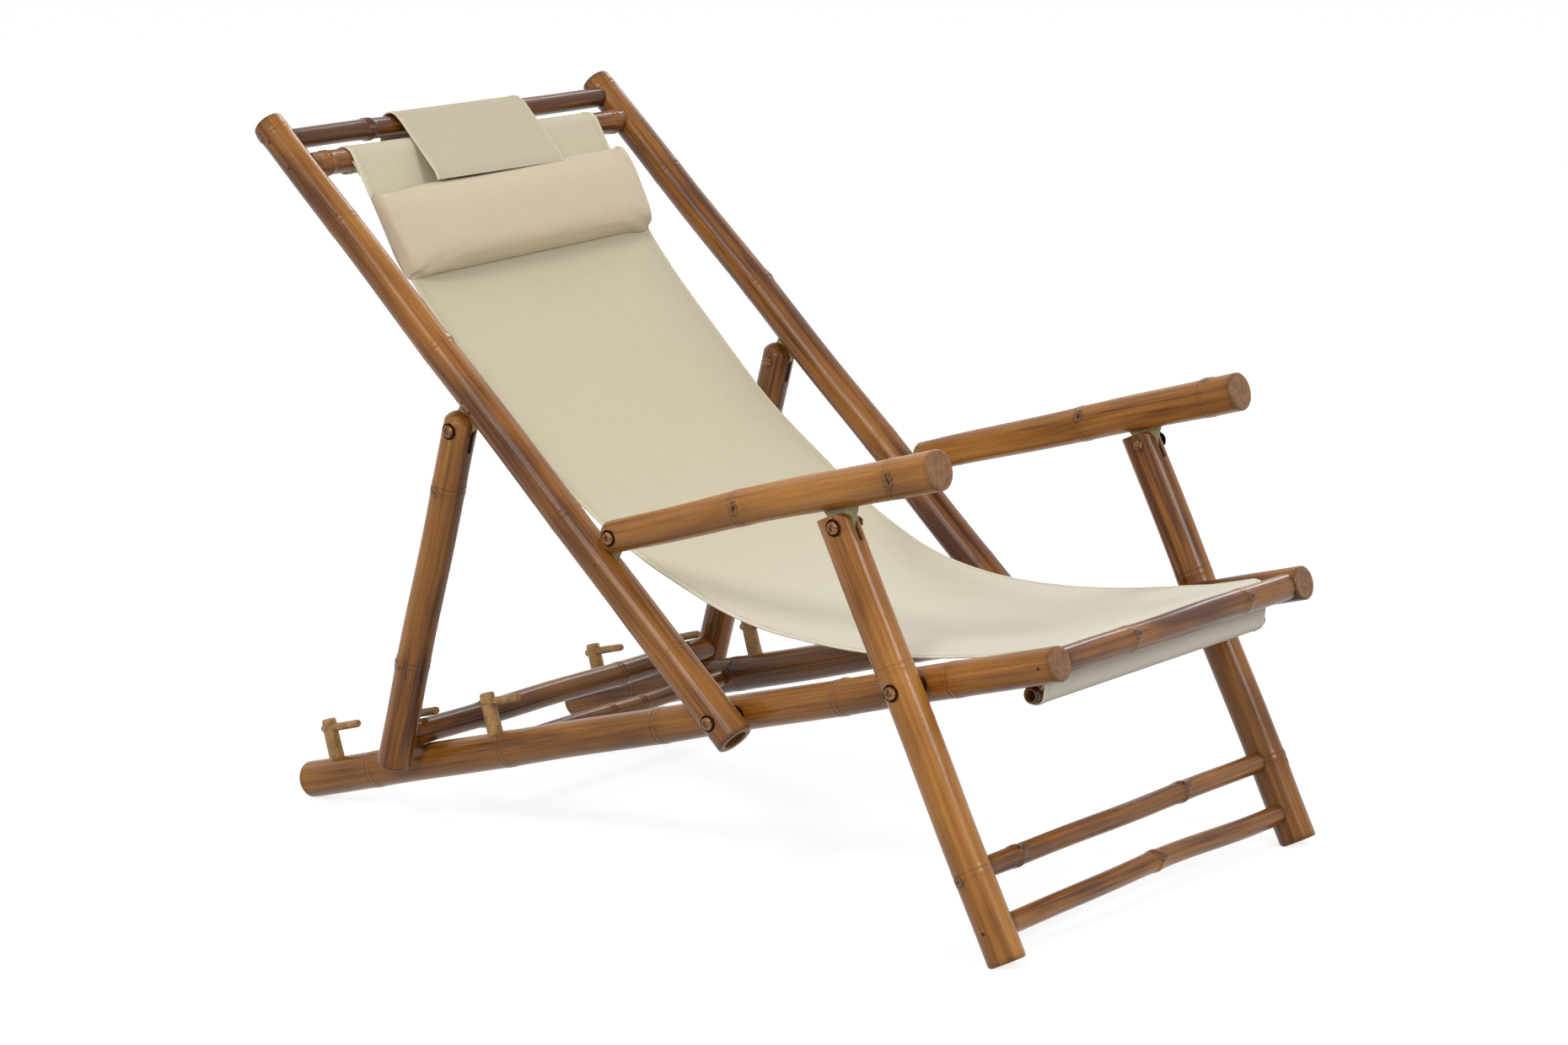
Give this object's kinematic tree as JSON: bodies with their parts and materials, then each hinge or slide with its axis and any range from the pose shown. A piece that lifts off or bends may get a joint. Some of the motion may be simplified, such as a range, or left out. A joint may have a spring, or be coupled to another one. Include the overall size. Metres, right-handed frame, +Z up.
{
  "type": "bamboo folding recliner",
  "caption": "Folding reclining chair of varnished bamboo culms with a canvas sling, head pillow, linked armrests and front legs, and a rear prop that locks in pegs.",
  "frame": {"origin": "on the floor, under the middle of the bounding box", "axes": "+X towards the foot end, +Y to the sitter's left side, +Z up"},
  "size_m": [1.123, 0.6534, 0.8456],
  "materials": {
    "bamboo_culm": "varnished, glossy",
    "peg_bamboo": "varnished, satin",
    "link_plate_wood": "varnished, satin",
    "bolt_steel": "copper coloured coating",
    "sling_canvas": "plain weave, matt",
    "pillow_canvas": "plain weave, matt"
  },
  "bodies": {
    "seat_frame": {"rail_left": "bamboo_culm", "rail_right": "bamboo_culm", "front_bar": "bamboo_culm", "front_inner_bar": "bamboo_culm", "rear_stretcher": "bamboo_culm", "peg_post_left_1": "peg_bamboo", "peg_hook_left_1": "peg_bamboo", "peg_post_left_2": "peg_bamboo", "peg_hook_left_2": "peg_bamboo", "peg_post_left_3": "peg_bamboo", "peg_hook_left_3": "peg_bamboo", "peg_post_right_1": "peg_bamboo", "peg_hook_right_1": "peg_bamboo", "peg_post_right_2": "peg_bamboo", "peg_hook_right_2": "peg_bamboo", "peg_post_right_3": "peg_bamboo", "peg_hook_right_3": "peg_bamboo", "hem_rod_front": "bamboo_culm", "back_pivot_bolt_left": "bolt_steel", "back_pivot_bolt_right": "bolt_steel", "back_pivot_washer_left": "bolt_steel", "back_pivot_washer_right": "bolt_steel", "leg_pivot_bolt_left": "bolt_steel", "leg_pivot_bolt_right": "bolt_steel", "leg_pivot_washer_left": "bolt_steel", "leg_pivot_washer_right": "bolt_steel", "sling": "sling_canvas"},
    "backrest": {"backrest_pole_left": "bamboo_culm", "backrest_pole_right": "bamboo_culm", "head_bar": "bamboo_culm", "sling_bar": "bamboo_culm", "armrest_link_plate_left": "link_plate_wood", "armrest_link_plate_right": "link_plate_wood", "prop_link_plate_left": "link_plate_wood", "prop_link_plate_right": "link_plate_wood", "pillow": "pillow_canvas", "pillow_strap": "pillow_canvas"},
    "front_legs": {"front_leg_left": "bamboo_culm", "front_leg_right": "bamboo_culm", "leg_stretcher_upper": "bamboo_culm", "leg_stretcher_lower": "bamboo_culm", "leg_link_bolt_left": "bolt_steel", "leg_link_bolt_right": "bolt_steel"},
    "armrest_left": {"armrest_left": "bamboo_culm", "armrest_bolt_left": "bolt_steel", "leg_link_plate_left": "link_plate_wood"},
    "armrest_right": {"armrest_right": "bamboo_culm", "armrest_bolt_right": "bolt_steel", "leg_link_plate_right": "link_plate_wood"},
    "prop": {"prop_leg_left": "bamboo_culm", "prop_leg_right": "bamboo_culm", "prop_bar": "bamboo_culm", "prop_bolt_left": "bolt_steel", "prop_bolt_right": "bolt_steel"}
  },
  "joints": [
    {"name": "backrest_fold", "type": "hinge", "parent": "seat_frame", "child": "backrest", "pos_m": [0.1327, 0, 0.212], "axis": [0, -1, 0], "range_deg": [-5, 0], "deforming": ["sling"]},
    {"name": "front_leg_fold", "type": "hinge", "parent": "seat_frame", "child": "front_legs", "pos_m": [0.3855, 0, 0.2855], "axis": [0, -1, 0], "range_deg": [-5.9, 0]},
    {"name": "armrest_left_fold", "type": "hinge", "parent": "backrest", "child": "armrest_left", "pos_m": [-0.01283, 0.3, 0.40391], "axis": [0, -1, 0], "range_deg": [0, 4.2]},
    {"name": "armrest_right_fold", "type": "hinge", "parent": "backrest", "child": "armrest_right", "pos_m": [-0.01283, -0.3, 0.40391], "axis": [0, -1, 0], "range_deg": [0, 4.2]},
    {"name": "prop_swing", "type": "hinge", "parent": "backrest", "child": "prop", "pos_m": [-0.25114, 0, 0.49907], "axis": [0, -1, 0], "range_deg": [0, 12.2]}
  ],
  "couplings": [
    {"joint": "front_leg_fold", "follows": "backrest_fold", "ratio": 1.174},
    {"joint": "armrest_left_fold", "follows": "backrest_fold", "ratio": -0.8274},
    {"joint": "armrest_right_fold", "follows": "backrest_fold", "ratio": -0.8274},
    {"joint": "prop_swing", "follows": "backrest_fold", "ratio": -2.42}
  ]
}
